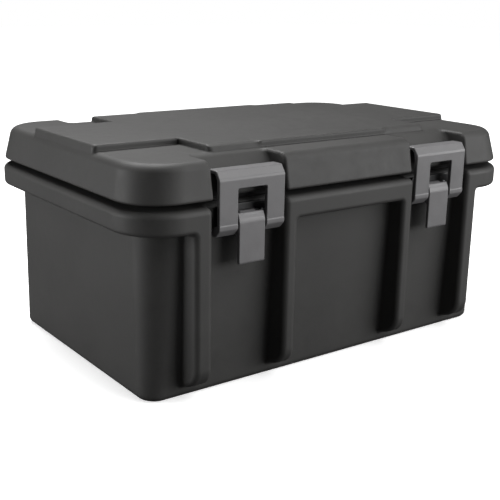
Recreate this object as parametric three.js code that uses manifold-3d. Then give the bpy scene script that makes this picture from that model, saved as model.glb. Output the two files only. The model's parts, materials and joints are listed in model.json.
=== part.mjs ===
// A top-loading insulated food carrier: a foam-filled, double-walled tub for one full-size pan,
// and a hinged, foam-filled lid held shut by two draw latches.
// Millimetres, +Z up. The origin is at the middle of the underside; the latches are on the -Y side.
import * as THREE from "three";
import { mergeVertices } from "three/addons/utils/BufferGeometryUtils.js";
import Module from "manifold-3d";

const wasm = await Module();
wasm.setup();

// ---- driving dimensions ----
const RIM = { halfX: 332.5, halfY: 227.5 }; // half the carrier's overall length and width
const WALL = { halfX: 304, halfY: 201.5 }; // half the tub's length and width below the rim
const RIM_TOP = 254; // height of the tub
const SKIN = 4; // thickness of every moulded wall
const FOAM_GAP = 0.3; // between a wall and the foam behind it
const CLEAR = 0.3; // between pieces that touch
const BEYOND = 20; // how far a cut reaches past the outside that it opens

// Levels of the tub's outside: height, share of the rim's overhang reached, corner radius.
const TUB_LEVELS = [
  [0, -0.22, 19],
  [1.8, -0.06, 22],
  [6, 0, 24],
  [218, 0, 45],
  [223.4, 0.1, 48],
  [224, 0.9, 62],
  [227, 1, 66],
  [245, 1, 66],
  [251, 0.92, 64],
  [254, 0.7, 58],
];
const TUB_TOP_LEVELS_FROM = 240; // levels above this height face up, the rest face down or out

// Levels of the pan cavity: height, half length, half width, corner radius.
const LEDGE = 236; // the pan's rim rests here
const CAVITY_FLOOR = 76;
const CAVITY_LEVELS = [
  [CAVITY_FLOOR, 246, 144, 24],
  [CAVITY_FLOOR + 6, 251.5, 149.5, 28],
  [LEDGE, 256, 153.5, 32],
  [LEDGE, 270, 168, 40],
  [RIM_TOP + 10, 271, 169, 41],
];

// Upright ribs on the front and back, and the latch channels between them.
const RIB_CENTRES = [-240, -105.75, 105.75, 240];
const RIB = { halfWidth: 9.2, top: 232, bottom: 34, face: 227.1, corner: 4 };
// Levels of a rib from its root to its face: distance out, extra half width, drop of its foot.
const RIB_LEVELS = [
  [WALL.halfY - 6, 6.8, 16],
  [RIB.face - 3.5, 0.8, 2],
  [RIB.face - 1, 0, 0.8],
  [RIB.face, -1.3, 0],
];
const CHANNEL = { centre: 172.25, halfWidth: 57.9, draft: 5.5, bottom: 200, floor: WALL.halfY + 0.5 };

// Levels of the lid's outside: height, inset from the rim, corner radius.
const LID_BOTTOM = 262;
const LID_TOP = 309.5; // the low corners
const LID_LEVELS = [
  [LID_BOTTOM, 7.5, 58],
  [264, 4.2, 61.5],
  [267, 3.4, 62.5],
  [302, 10.3, 61],
  [306.5, 12.3, 59.5],
  [308.9, 15.7, 56.5],
  [LID_TOP, 20, 53],
];
const LID_UP_FROM = 300; // levels above this height face up
const PLATEAU_TOP = 318.5;
const PLATEAUS = [
  { halfX: 317, halfY: 91.5, corner: 12 },
  { halfX: 194.5, halfY: 165.5, corner: 12 },
];
const PLATEAU_EDGE = [
  [296, 0],
  [314.5, 1.4],
  [317.6, 2.8],
  [PLATEAU_TOP, 5.6],
];
const LID_PLUG = {
  bottom: 250,
  bevel: 1.5,
  bevelHeight: 2,
  rootHeight: 8,
  halfX: 266,
  halfY: 164,
  corner: 38,
  draft: 3,
};

// Latch and hinge stations, the same four places on the lid and the tub.
const STATION_X = 169.5;
const POCKET = { halfWidth: 57, back: 208.5, lipRear: 201.5, lipTop: 291, grooveFloor: 281, bevel: 2 };
// The groove behind the lip: its rear wall leans back to the lid's top, and on above it.
const GROOVE = { rear: 190, rearTop: 183, rearAbove: 180, topAt: LID_TOP - 2 };
// How far the pocket's cuts reach past the lid.
const POCKET_CUT = { below: LID_BOTTOM - 10, above: PLATEAU_TOP + 5, beyond: RIM.halfY + BEYOND };

// Draw latch, in distance out from the middle and height.
const LEVER_PIVOT = { out: 213, up: 236, hub: 6, pin: 2.6 };
const LINK_PIVOT = { out: 214.5, up: 219.5, hub: 6, pin: 2.6 };
const LATCH_FACE = 226.5;
const LOOP = { halfWidth: 49.5, plate: 6, windowHalf: 21.5, windowTop: 270, pinInset: 7 };
const LOOP_LEG = { bottom: LINK_PIVOT.up + 2, taper: 6, edge: 1, curlTop: LINK_PIVOT.up + 9 };
const HOOK = { out: 204, up: 288, innerRadius: 4.5, outerRadius: 9, tipUp: 284 };
const SHOULDER = { out: 218.5, up: 281, insideOut: 215.3, insideUp: 280.3 };
const LEVER = { halfWidth: 20, plate: 5, bottom: 173, shoulder: 228, top: 240, hubHalf: 12 };
const LEVER_EDGE = { bevel: 1, bevelHeight: 1.5, headFront: 0.5, headBack: 2, overlap: 1 };
const LEVER_LINK = { radius: LINK_PIVOT.hub - 0.5, blockHalf: 7.5 };
const BRACKET = { halfWidth: 38, plate: 3.7, bottom: 217, top: 250, bevel: 1.5 };
const EAR = { inner: 12.5, outer: 18, bottom: 225, top: 240, root: 1 };
const BRACKET_SCREW = { x: 29, up: 236 };
const PIN_GAP = 0.3;

// Butt hinge, in the same terms, on the back.
const HINGE_AXIS = { out: 221, up: 258, hub: 5.5, pin: 2.5 };
const LEAF = { halfWidth: 28, plate: 3.6, knuckleHalf: 9.5, screwX: 18 };
const BODY_LEAF = { bottom: 206, bevelFrom: 240, top: 246, armBottom: 235, screwUp: 219 };
const LID_LEAF = { bottom: 264, top: 286, armTop: 272, screwUp: 273 };

// Faces that the pieces screwed to the tub and the lid stand on.
const TUB_FACE = CHANNEL.floor + CLEAR;
const LID_FACE = POCKET.back + CLEAR;

// Fasteners and plugs.
const SCREW = { head: 4, headHeight: 2.3, shank: 2, length: 13 };
const FILL_HOLE = { radius: 15, flange: 20, flangeDepth: 1.7, depth: 8 };

// Seal between lid and tub.
const GASKET = { halfX: 302.5, halfY: 197.5, corner: 44, width: 10 };

const CORNER_STEPS = 6;
const SMALL_CORNER_STEPS = 2;
const PIVOT_STEPS = 18;
const HOLE_STEPS = 10;
const PLUG_STEPS = 18;
const HUB_REACH = 0.95; // share of a hub's radius that an arm runs into it

// ---- materials ----
const moulded = new THREE.MeshStandardMaterial({ color: 0x2b2b2c, roughness: 0.62, metalness: 0 });
const foam = new THREE.MeshStandardMaterial({ color: 0xd8c48a, roughness: 0.95, metalness: 0 });
const sealRubber = new THREE.MeshStandardMaterial({ color: 0x111111, roughness: 0.8, metalness: 0 });
const nylon = new THREE.MeshStandardMaterial({ color: 0x4c4b4c, roughness: 0.5, metalness: 0 });
const darkNylon = new THREE.MeshStandardMaterial({ color: 0x1a1a1b, roughness: 0.55, metalness: 0 });
const steel = new THREE.MeshStandardMaterial({ color: 0xb4b6b8, roughness: 0.35, metalness: 1 });

// ---- solids ----
const AXIS = {
  x: new THREE.Vector3(1, 0, 0),
  y: new THREE.Vector3(0, 1, 0),
  z: new THREE.Vector3(0, 0, 1),
};
// A profile drawn as (y, z) and extruded along x.
const ALONG_X = new THREE.Matrix4().makeBasis(AXIS.y, AXIS.z, AXIS.x);
// A loft drawn as (x, z) rings stacked outwards from the middle, on the front side.
const OUT_FRONT = new THREE.Matrix4().makeBasis(AXIS.x, AXIS.z, AXIS.y.clone().negate());
const HALF_TURN = new THREE.Matrix4().makeRotationZ(Math.PI);

function solid(geometry) {
  const bare = geometry.clone();
  bare.deleteAttribute("normal");
  bare.deleteAttribute("uv");
  const merged = mergeVertices(bare, 1e-4);
  const vertProperties = new Float32Array(merged.attributes.position.array);
  const triVerts = new Uint32Array(merged.index.array);
  return new wasm.Manifold(new wasm.Mesh({ numProp: 3, vertProperties, triVerts }));
}

function geometryOf(body) {
  const mesh = body.getMesh();
  const geometry = new THREE.BufferGeometry();
  geometry.setAttribute("position", new THREE.BufferAttribute(new Float32Array(mesh.vertProperties), 3));
  geometry.setIndex(new THREE.BufferAttribute(new Uint32Array(mesh.triVerts), 1));
  geometry.computeVertexNormals();
  return geometry;
}

function union(parts) {
  return parts.reduce((whole, part) => whole.add(part));
}

// One level of a loft: a rectangle with round corners, anticlockwise.
function roundedRing(halfX, halfY, corner, z, centreX = 0, centreY = 0, steps = CORNER_STEPS) {
  const ring = [];
  const radius = Math.max(corner, 1);
  for (let quarter = 0; quarter < 4; quarter++) {
    const signX = quarter === 0 || quarter === 3 ? 1 : -1;
    const signY = quarter < 2 ? 1 : -1;
    for (let step = 0; step <= steps; step++) {
      const angle = (quarter + step / steps) * (Math.PI / 2);
      const x = centreX + signX * (halfX - radius) + radius * Math.cos(angle);
      const y = centreY + signY * (halfY - radius) + radius * Math.sin(angle);
      ring.push(new THREE.Vector3(x, y, z));
    }
  }
  return ring;
}

// A closed body through rings of equal length, lowest first.
function loft(rings) {
  const count = rings[0].length;
  const positions = [];
  const index = [];
  for (const ring of rings) {
    ring.forEach((point) => positions.push(point.x, point.y, point.z));
  }
  for (let level = 0; level < rings.length - 1; level++) {
    for (let i = 0; i < count; i++) {
      const a = level * count + i;
      const b = level * count + ((i + 1) % count);
      index.push(a, b, b + count, a, b + count, a + count);
    }
  }
  const last = (rings.length - 1) * count;
  for (let i = 1; i < count - 1; i++) {
    index.push(0, i + 1, i);
    index.push(last, last + i, last + i + 1);
  }
  const geometry = new THREE.BufferGeometry();
  geometry.setAttribute("position", new THREE.Float32BufferAttribute(positions, 3));
  geometry.setIndex(index);
  return geometry;
}

// A loft of (x, z) rings stacked outwards on the front, or on the back.
function outwardLoft(rings, back = false) {
  const geometry = loft(rings).applyMatrix4(OUT_FRONT);
  return solid(back ? geometry.applyMatrix4(HALF_TURN) : geometry);
}

// A side profile of [out, up] points on the front (side -1) or back (side 1), extruded from x0 to x1.
function sideProfile(points, side, x0, x1) {
  const shape = new THREE.Shape(points.map(([out, up]) => new THREE.Vector2(side * out, up)));
  const geometry = new THREE.ExtrudeGeometry(shape, { depth: x1 - x0, bevelEnabled: false, steps: 1 });
  geometry.applyMatrix4(ALONG_X);
  return solid(geometry.translate(x0, 0, 0));
}

// Points of an arc, from one angle to another in degrees.
function arcPoints(out, up, radius, from, to, steps) {
  const points = [];
  for (let i = 0; i <= steps; i++) {
    const angle = THREE.MathUtils.degToRad(from + ((to - from) * i) / steps);
    points.push([out + radius * Math.cos(angle), up + radius * Math.sin(angle)]);
  }
  return points;
}

// A turned body about the y axis from [radius, height] points.
function latheOf(points, steps) {
  return new THREE.LatheGeometry(points.map(([radius, height]) => new THREE.Vector2(radius, height)), steps);
}

// A round bar along x at a pivot on the front or back.
function barAlongX(pivot, side, radius, x0, x1) {
  const geometry = new THREE.CylinderGeometry(radius, radius, x1 - x0, PIVOT_STEPS);
  geometry.rotateZ(Math.PI / 2);
  geometry.translate((x0 + x1) / 2, side * pivot.out, pivot.up);
  return solid(geometry);
}

// A point inside a pivot's hub, at an angle in degrees.
function hubPoint(pivot, degrees, radius = pivot.hub) {
  const angle = THREE.MathUtils.degToRad(degrees);
  const reach = HUB_REACH * radius;
  return [pivot.out + reach * Math.cos(angle), pivot.up + reach * Math.sin(angle)];
}

// A round hole along y, from one distance out to another.
function holeAlongY(x, up, side, radius, out0, out1) {
  const geometry = new THREE.CylinderGeometry(radius, radius, out1 - out0, HOLE_STEPS);
  geometry.translate(x, (side * (out0 + out1)) / 2, up);
  return solid(geometry);
}

// ---- the tub ----
function tubOuter(inset) {
  const overhangX = RIM.halfX - WALL.halfX;
  const overhangY = RIM.halfY - WALL.halfY;
  const rings = TUB_LEVELS.map(([z, share, corner]) => {
    const height = z > TUB_TOP_LEVELS_FROM ? z - inset : z + inset;
    const halfX = WALL.halfX + share * overhangX - inset;
    const halfY = WALL.halfY + share * overhangY - inset;
    return roundedRing(halfX, halfY, corner - inset, height);
  });
  return solid(loft(rings));
}

function rib(centre, inset, back) {
  const rings = RIB_LEVELS.map(([out, widen, drop]) => {
    const bottom = RIB.bottom - drop + inset;
    const top = RIB.top - inset;
    const halfWidth = RIB.halfWidth + widen - inset;
    const halfHeight = (top - bottom) / 2;
    const middle = bottom + halfHeight;
    const corner = RIB.corner - inset;
    return roundedRing(halfWidth, halfHeight, corner, out - inset, centre, middle, SMALL_CORNER_STEPS);
  });
  return outwardLoft(rings, back);
}

function channelCut(side, grow, back) {
  const levels = [
    [CHANNEL.floor, -CHANNEL.draft],
    [RIM.halfY, 0],
    [RIM.halfY + BEYOND, CHANNEL.draft],
  ];
  const middle = (RIM_TOP + BEYOND + CHANNEL.bottom) / 2;
  const halfHeight = middle - CHANNEL.bottom;
  const rings = levels.map(([out, widen]) => {
    const halfWidth = CHANNEL.halfWidth + widen + grow;
    return roundedRing(halfWidth, halfHeight, 1, out - grow, side * CHANNEL.centre, middle, 1);
  });
  return outwardLoft(rings, back);
}

function cavityCut(grow) {
  const rings = CAVITY_LEVELS.map(([z, halfX, halfY, corner]) =>
    roundedRing(halfX + grow, halfY + grow, corner + grow, z - grow)
  );
  return solid(loft(rings));
}

// The tub's outside with its ribs and channels, moved in by a wall's thickness for the hollow.
function tubForm(inset) {
  let form = tubOuter(inset);
  for (const back of [false, true]) {
    for (const side of [-1, 1]) {
      form = form.subtract(channelCut(side, inset, back));
    }
    for (const centre of RIB_CENTRES) {
      form = form.add(rib(centre, inset, back));
    }
  }
  return form;
}

function tubHollow(gap) {
  const inset = SKIN + gap;
  return tubForm(inset).subtract(cavityCut(inset));
}

// ---- the lid ----
function lidForm(inset) {
  const rings = LID_LEVELS.map(([z, edge, corner]) => {
    const height = z > LID_UP_FROM ? z - inset : z + inset;
    const halfX = RIM.halfX - edge - inset;
    const halfY = RIM.halfY - edge - inset;
    return roundedRing(halfX, halfY, corner - inset, height);
  });
  const forms = [solid(loft(rings)), lidPlugForm(inset)];
  for (const { halfX, halfY, corner } of PLATEAUS) {
    const levels = PLATEAU_EDGE.map(([z, edge]) => {
      const back = edge + inset;
      const round = corner - back;
      return roundedRing(halfX - back, halfY - back, round, z - inset, 0, 0, SMALL_CORNER_STEPS);
    });
    forms.push(solid(loft(levels)));
  }
  return union(forms);
}

function lidPlugForm(inset) {
  const { bottom, bevel, bevelHeight, rootHeight, halfX, halfY, corner, draft } = LID_PLUG;
  const levels = [
    [bottom + inset, draft + bevel],
    [bottom + inset + bevelHeight, draft],
    [LID_BOTTOM + inset + rootHeight, 0],
  ];
  const rings = levels.map(([z, edge]) => {
    const back = edge + inset;
    return roundedRing(halfX - back, halfY - back, corner - back, z);
  });
  return solid(loft(rings));
}

// The open pocket in the lid's edge, with the lip that a latch hooks over.
function pocketCut(side, station) {
  const { back, lipRear, lipTop, grooveFloor, halfWidth, bevel } = POCKET;
  const { below, above, beyond } = POCKET_CUT;
  const profile = [
    [back, below],
    [back, lipTop - bevel],
    [back - bevel, lipTop],
    [lipRear + bevel, lipTop],
    [lipRear, lipTop - bevel],
    [lipRear, grooveFloor],
    [GROOVE.rear + bevel, grooveFloor],
    [GROOVE.rear, grooveFloor + bevel],
    [GROOVE.rearTop, GROOVE.topAt],
    [GROOVE.rearAbove, above],
    [beyond, above],
    [beyond, below],
  ];
  return sideProfile(profile, side, station - halfWidth, station + halfWidth);
}

// What the pocket takes out of the hollow behind it: the lip is solid.
function pocketHollowCut(side, station, inset) {
  const { below, above, beyond } = POCKET_CUT;
  const floor = POCKET.grooveFloor - inset;
  const profile = [
    [POCKET.back - inset, below],
    [POCKET.back - inset, floor],
    [GROOVE.rear - inset, floor],
    [GROOVE.rearTop - inset, GROOVE.topAt],
    [GROOVE.rearAbove - inset, above],
    [beyond, above],
    [beyond, below],
  ];
  const halfWidth = POCKET.halfWidth + inset;
  return sideProfile(profile, side, station - halfWidth, station + halfWidth);
}

function lidHollow(gap) {
  const inset = SKIN + gap;
  let hollow = lidForm(inset);
  for (const side of [-1, 1]) {
    for (const station of [-STATION_X, STATION_X]) {
      hollow = hollow.subtract(pocketHollowCut(side, station, inset));
    }
  }
  return hollow;
}

// ---- fill holes and their plugs ----
function fillHole(z, grow) {
  const points = [
    [0, -1],
    [FILL_HOLE.flange + grow, -1],
    [FILL_HOLE.flange + grow, FILL_HOLE.flangeDepth + grow],
    [FILL_HOLE.radius + grow, FILL_HOLE.flangeDepth + grow],
    [FILL_HOLE.radius + grow, FILL_HOLE.depth + grow],
    [0, FILL_HOLE.depth + grow],
  ];
  const geometry = latheOf(points, PLUG_STEPS);
  return solid(geometry.rotateX(Math.PI / 2).translate(0, 0, z));
}

function fillPlug(z) {
  const flange = FILL_HOLE.flange - CLEAR;
  const stem = FILL_HOLE.radius - CLEAR;
  const points = [
    [0, CLEAR],
    [flange, CLEAR],
    [flange, FILL_HOLE.flangeDepth - CLEAR],
    [stem, FILL_HOLE.flangeDepth - CLEAR],
    [stem, FILL_HOLE.depth - CLEAR],
    [0, FILL_HOLE.depth - CLEAR],
  ];
  const geometry = latheOf(points, PLUG_STEPS);
  return solid(geometry.rotateX(Math.PI / 2).translate(0, 0, z));
}

// ---- seal ----
function gasket() {
  const { halfX, halfY, corner, width } = GASKET;
  const bottom = RIM_TOP + CLEAR;
  const top = LID_BOTTOM - CLEAR;
  const ring = (inset, low, high) =>
    solid(
      loft([low, high].map((z) => roundedRing(halfX - inset, halfY - inset, corner - inset, z)))
    );
  return ring(0, bottom, top).subtract(ring(width, bottom - 1, top + 1));
}

// ---- fasteners ----
// A pan-head screw whose head sits on a face at a distance out from the middle.
function screw(x, up, side, out) {
  const points = [
    [0, -SCREW.length],
    [SCREW.shank, -SCREW.length],
    [SCREW.shank, CLEAR],
    [SCREW.head, CLEAR],
    [SCREW.head, SCREW.headHeight],
    [0, SCREW.headHeight],
  ];
  const geometry = latheOf(points, HOLE_STEPS);
  if (side < 0) {
    geometry.rotateX(Math.PI);
  }
  return solid(geometry.translate(x, side * out, up));
}

// The clearance hole for a screw, opened past the face that its head sits on.
function screwHole(x, up, side, face) {
  return holeAlongY(x, up, side, SCREW.shank + CLEAR, face - SCREW.length - CLEAR, face + SCREW.head);
}

// ---- draw latch ----
function bracket(station) {
  const front = TUB_FACE + BRACKET.plate;
  const plate = [
    [TUB_FACE, BRACKET.bottom],
    [front, BRACKET.bottom],
    [front, BRACKET.top - BRACKET.bevel],
    [front - BRACKET.bevel, BRACKET.top],
    [TUB_FACE, BRACKET.top],
  ];
  const ear = [
    [TUB_FACE + EAR.root, EAR.bottom],
    [front, EAR.bottom],
    hubPoint(LEVER_PIVOT, -70),
    hubPoint(LEVER_PIVOT, 100),
    [front, EAR.top],
    [TUB_FACE + EAR.root, EAR.top],
  ];
  const parts = [sideProfile(plate, -1, station - BRACKET.halfWidth, station + BRACKET.halfWidth)];
  for (const [x0, x1] of [[-EAR.outer, -EAR.inner], [EAR.inner, EAR.outer]]) {
    parts.push(sideProfile(ear, -1, station + x0, station + x1));
    parts.push(barAlongX(LEVER_PIVOT, -1, LEVER_PIVOT.hub, station + x0, station + x1));
  }
  const end = EAR.outer + 1;
  const bore = LEVER_PIVOT.pin + PIN_GAP;
  const bored = union(parts).subtract(barAlongX(LEVER_PIVOT, -1, bore, station - end, station + end));
  return [-1, 1].reduce((body, side) => {
    const x = station + side * BRACKET_SCREW.x;
    return body.subtract(screwHole(x, BRACKET_SCREW.up, -1, front));
  }, bored);
}

// The lever is the tongue that is pulled out to release the latch.
function lever(station) {
  const { halfWidth, hubHalf, bottom, shoulder, top } = LEVER;
  const { bevel, bevelHeight, headFront, headBack, overlap } = LEVER_EDGE;
  const face = LATCH_FACE;
  const rear = face - LEVER.plate;
  const tongue = [
    [rear, bottom],
    [face - bevel, bottom],
    [face, bottom + bevelHeight],
    [face, shoulder],
    [rear + headFront, top],
    [rear - headBack, top],
    [rear - headBack / 2, shoulder],
  ];
  const pivotBlock = [
    hubPoint(LEVER_PIVOT, -90),
    [rear + overlap, shoulder],
    [rear + overlap, top],
    hubPoint(LEVER_PIVOT, 90),
  ];
  const linkBlock = [
    hubPoint(LINK_PIVOT, -90, LEVER_LINK.radius),
    [rear + overlap, LINK_PIVOT.up - LEVER_LINK.blockHalf],
    [rear + overlap, LINK_PIVOT.up + LEVER_LINK.blockHalf],
    hubPoint(LINK_PIVOT, 90, LEVER_LINK.radius),
  ];
  const span = (half) => [station - half, station + half];
  const parts = [
    sideProfile(tongue, -1, ...span(halfWidth)),
    sideProfile(pivotBlock, -1, ...span(hubHalf)),
    barAlongX(LEVER_PIVOT, -1, LEVER_PIVOT.hub, ...span(hubHalf)),
    sideProfile(linkBlock, -1, ...span(halfWidth)),
    barAlongX(LINK_PIVOT, -1, LEVER_LINK.radius, ...span(halfWidth)),
  ];
  return union(parts)
    .subtract(barAlongX(LEVER_PIVOT, -1, LEVER_PIVOT.pin + PIN_GAP, ...span(hubHalf + 1)))
    .subtract(barAlongX(LINK_PIVOT, -1, LINK_PIVOT.pin + PIN_GAP, ...span(halfWidth + 1)));
}

// The loop hooks over the lid's lip; its legs curl round the link pin.
function loop(station) {
  const face = LATCH_FACE;
  const rear = face - LOOP.plate;
  const hookInside = HOOK.up + HOOK.innerRadius;
  const hookTop = HOOK.up + HOOK.outerRadius;
  const plate = [
    [HOOK.out - HOOK.outerRadius, HOOK.tipUp],
    [HOOK.out - HOOK.innerRadius, HOOK.tipUp],
    ...arcPoints(HOOK.out, HOOK.up, HOOK.innerRadius, 180, 90, 4),
    [SHOULDER.insideOut, hookInside],
    [rear, SHOULDER.insideUp],
    [rear, LOOP_LEG.bottom],
    [face - LOOP_LEG.edge, LOOP_LEG.bottom],
    [face, LOOP_LEG.bottom + LOOP_LEG.taper],
    [face, SHOULDER.up],
    [SHOULDER.out, hookTop],
    ...arcPoints(HOOK.out, HOOK.up, HOOK.outerRadius, 90, 180, 5),
  ];
  const curl = [
    hubPoint(LINK_PIVOT, -90),
    hubPoint(LINK_PIVOT, -45),
    [face - LOOP_LEG.edge, LOOP_LEG.bottom],
    [face - LOOP_LEG.edge, LOOP_LEG.curlTop],
    [rear, LOOP_LEG.curlTop],
    hubPoint(LINK_PIVOT, 90),
  ];
  const opening = [
    [0, LEVER.bottom],
    [RIM.halfY + BEYOND, LEVER.bottom],
    [RIM.halfY + BEYOND, LOOP.windowTop],
    [0, LOOP.windowTop],
  ];
  const span = (half) => [station - half, station + half];
  const body = sideProfile(plate, -1, ...span(LOOP.halfWidth))
    .add(sideProfile(curl, -1, ...span(LOOP.halfWidth)))
    .add(barAlongX(LINK_PIVOT, -1, LINK_PIVOT.hub, ...span(LOOP.halfWidth)));
  const pinHalf = LOOP.halfWidth - LOOP.pinInset;
  return body
    .subtract(sideProfile(opening, -1, ...span(LOOP.windowHalf)))
    .subtract(barAlongX(LINK_PIVOT, -1, LINK_PIVOT.pin + PIN_GAP, ...span(pinHalf)));
}

// ---- hinge ----
function leafScrewHoles(body, station, up, front) {
  return [-1, 1].reduce(
    (drilled, side) => drilled.subtract(screwHole(station + side * LEAF.screwX, up, 1, front)),
    body
  );
}

// The bore for the hinge's pin, cut a little past both ends of a leaf's knuckles.
function hingeBore(station, half) {
  const radius = HINGE_AXIS.pin + PIN_GAP;
  return barAlongX(HINGE_AXIS, 1, radius, station - half - 1, station + half + 1);
}

function bodyLeaf(station) {
  const front = TUB_FACE + LEAF.plate;
  const plate = [
    [TUB_FACE, BODY_LEAF.bottom],
    [front, BODY_LEAF.bottom],
    [front, BODY_LEAF.bevelFrom],
    [TUB_FACE, BODY_LEAF.top],
  ];
  const arm = [
    [TUB_FACE, BODY_LEAF.armBottom],
    [front, BODY_LEAF.armBottom],
    hubPoint(HINGE_AXIS, -49),
    [HINGE_AXIS.out, HINGE_AXIS.up],
    hubPoint(HINGE_AXIS, 140),
    [TUB_FACE, BODY_LEAF.top],
  ];
  const spans = [
    [station - LEAF.halfWidth, station - LEAF.knuckleHalf - CLEAR],
    [station + LEAF.knuckleHalf + CLEAR, station + LEAF.halfWidth],
  ];
  const parts = [sideProfile(plate, 1, station - LEAF.halfWidth, station + LEAF.halfWidth)];
  for (const [x0, x1] of spans) {
    parts.push(sideProfile(arm, 1, x0, x1));
    parts.push(barAlongX(HINGE_AXIS, 1, HINGE_AXIS.hub, x0, x1));
  }
  const bored = union(parts).subtract(hingeBore(station, LEAF.halfWidth));
  return leafScrewHoles(bored, station, BODY_LEAF.screwUp, front);
}

function lidLeaf(station) {
  const front = LID_FACE + LEAF.plate;
  const plate = [
    [LID_FACE, LID_LEAF.bottom],
    [front, LID_LEAF.bottom],
    [front, LID_LEAF.top],
    [LID_FACE, LID_LEAF.top],
  ];
  const arm = [
    [LID_FACE, LID_LEAF.bottom],
    [LID_FACE, LID_LEAF.armTop],
    [front, LID_LEAF.armTop],
    hubPoint(HINGE_AXIS, 54),
    [HINGE_AXIS.out, HINGE_AXIS.up],
    hubPoint(HINGE_AXIS, -134),
  ];
  const half = LEAF.knuckleHalf;
  const parts = [
    sideProfile(plate, 1, station - LEAF.halfWidth, station + LEAF.halfWidth),
    sideProfile(arm, 1, station - half, station + half),
    barAlongX(HINGE_AXIS, 1, HINGE_AXIS.hub, station - half, station + half),
  ];
  const bored = union(parts).subtract(hingeBore(station, half));
  return leafScrewHoles(bored, station, LID_LEAF.screwUp, front);
}

// ---- screw places, shared by the screws and the holes they sit in ----
const STATIONS = [
  { name: "left", x: -STATION_X },
  { name: "right", x: STATION_X },
];
const TUB_SCREWS = [];
const LID_SCREWS = [];
for (const { name, x } of STATIONS) {
  [-1, 1].forEach((side, i) => {
    const bracketX = x + side * BRACKET_SCREW.x;
    const leafX = x + side * LEAF.screwX;
    const bracketFront = TUB_FACE + BRACKET.plate;
    const bodyLeafFront = TUB_FACE + LEAF.plate;
    const lidLeafFront = LID_FACE + LEAF.plate;
    TUB_SCREWS.push([`${name}_bracket_screw_${i + 1}`, bracketX, BRACKET_SCREW.up, -1, bracketFront]);
    TUB_SCREWS.push([`${name}_hinge_body_screw_${i + 1}`, leafX, BODY_LEAF.screwUp, 1, bodyLeafFront]);
    LID_SCREWS.push([`${name}_hinge_lid_screw_${i + 1}`, leafX, LID_LEAF.screwUp, 1, lidLeafFront]);
  });
}

function drill(body, screws) {
  return screws.reduce(
    (drilled, [, x, up, side, out]) => drilled.subtract(screwHole(x, up, side, out)),
    body
  );
}

// ---- assembly ----
const group = new THREE.Group();

function place(parent, name, body, material) {
  const mesh = new THREE.Mesh(geometryOf(body), material);
  mesh.name = name;
  parent.add(mesh);
}

const tub = new THREE.Group();
group.add(tub);
const tubShell = tubForm(0).subtract(cavityCut(0)).subtract(tubHollow(0)).subtract(fillHole(0, 0));
place(tub, "body_shell", drill(tubShell, TUB_SCREWS), moulded);
place(tub, "body_foam", drill(tubHollow(FOAM_GAP).subtract(fillHole(0, CLEAR)), TUB_SCREWS), foam);
place(tub, "body_fill_plug", fillPlug(0), darkNylon);

const lid = new THREE.Group();
group.add(lid);
let lidSolid = lidForm(0);
for (const side of [-1, 1]) {
  for (const { x } of STATIONS) {
    lidSolid = lidSolid.subtract(pocketCut(side, x));
  }
}
const lidShell = lidSolid.subtract(lidHollow(0)).subtract(fillHole(LID_PLUG.bottom, 0));
place(lid, "lid_shell", drill(lidShell, LID_SCREWS), moulded);
const lidCore = lidHollow(FOAM_GAP).subtract(fillHole(LID_PLUG.bottom, CLEAR));
place(lid, "lid_foam", drill(lidCore, LID_SCREWS), foam);
place(lid, "lid_fill_plug", fillPlug(LID_PLUG.bottom), darkNylon);
place(lid, "lid_gasket", gasket(), sealRubber);

for (const [name, x, up, side, out] of TUB_SCREWS) {
  place(tub, name, screw(x, up, side, out), steel);
}
for (const [name, x, up, side, out] of LID_SCREWS) {
  place(lid, name, screw(x, up, side, out), steel);
}

for (const { name, x } of STATIONS) {
  const pinBetween = (pivot, side, half) => barAlongX(pivot, side, pivot.pin, x - half, x + half);
  const linkPinHalf = LOOP.halfWidth - LOOP.pinInset - PIN_GAP;

  const latch = new THREE.Group();
  group.add(latch);
  place(latch, `${name}_latch_bracket`, bracket(x), darkNylon);
  place(latch, `${name}_latch_lever_pin`, pinBetween(LEVER_PIVOT, -1, EAR.outer + 0.5), steel);
  place(latch, `${name}_latch_lever`, lever(x), nylon);
  place(latch, `${name}_latch_link_pin`, pinBetween(LINK_PIVOT, -1, linkPinHalf), steel);
  place(latch, `${name}_latch_loop`, loop(x), nylon);

  const hinge = new THREE.Group();
  group.add(hinge);
  place(hinge, `${name}_hinge_body_leaf`, bodyLeaf(x), darkNylon);
  place(hinge, `${name}_hinge_lid_leaf`, lidLeaf(x), darkNylon);
  place(hinge, `${name}_hinge_pin`, pinBetween(HINGE_AXIS, 1, LEAF.halfWidth - 0.5), steel);
}

export default group;
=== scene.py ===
"""An insulated food carrier: mouldings, latches, hinges and seal, as finished meshes around the CAD frame.

Shapes are written in millimetres as signed distance fields (negative inside), so that every edge has its
true moulded radius, and are then meshed and settled onto the exact surface. Objects are in metres.
"""

import json
import math

import bpy
import numpy as np
from mathutils import Matrix, Vector


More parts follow.
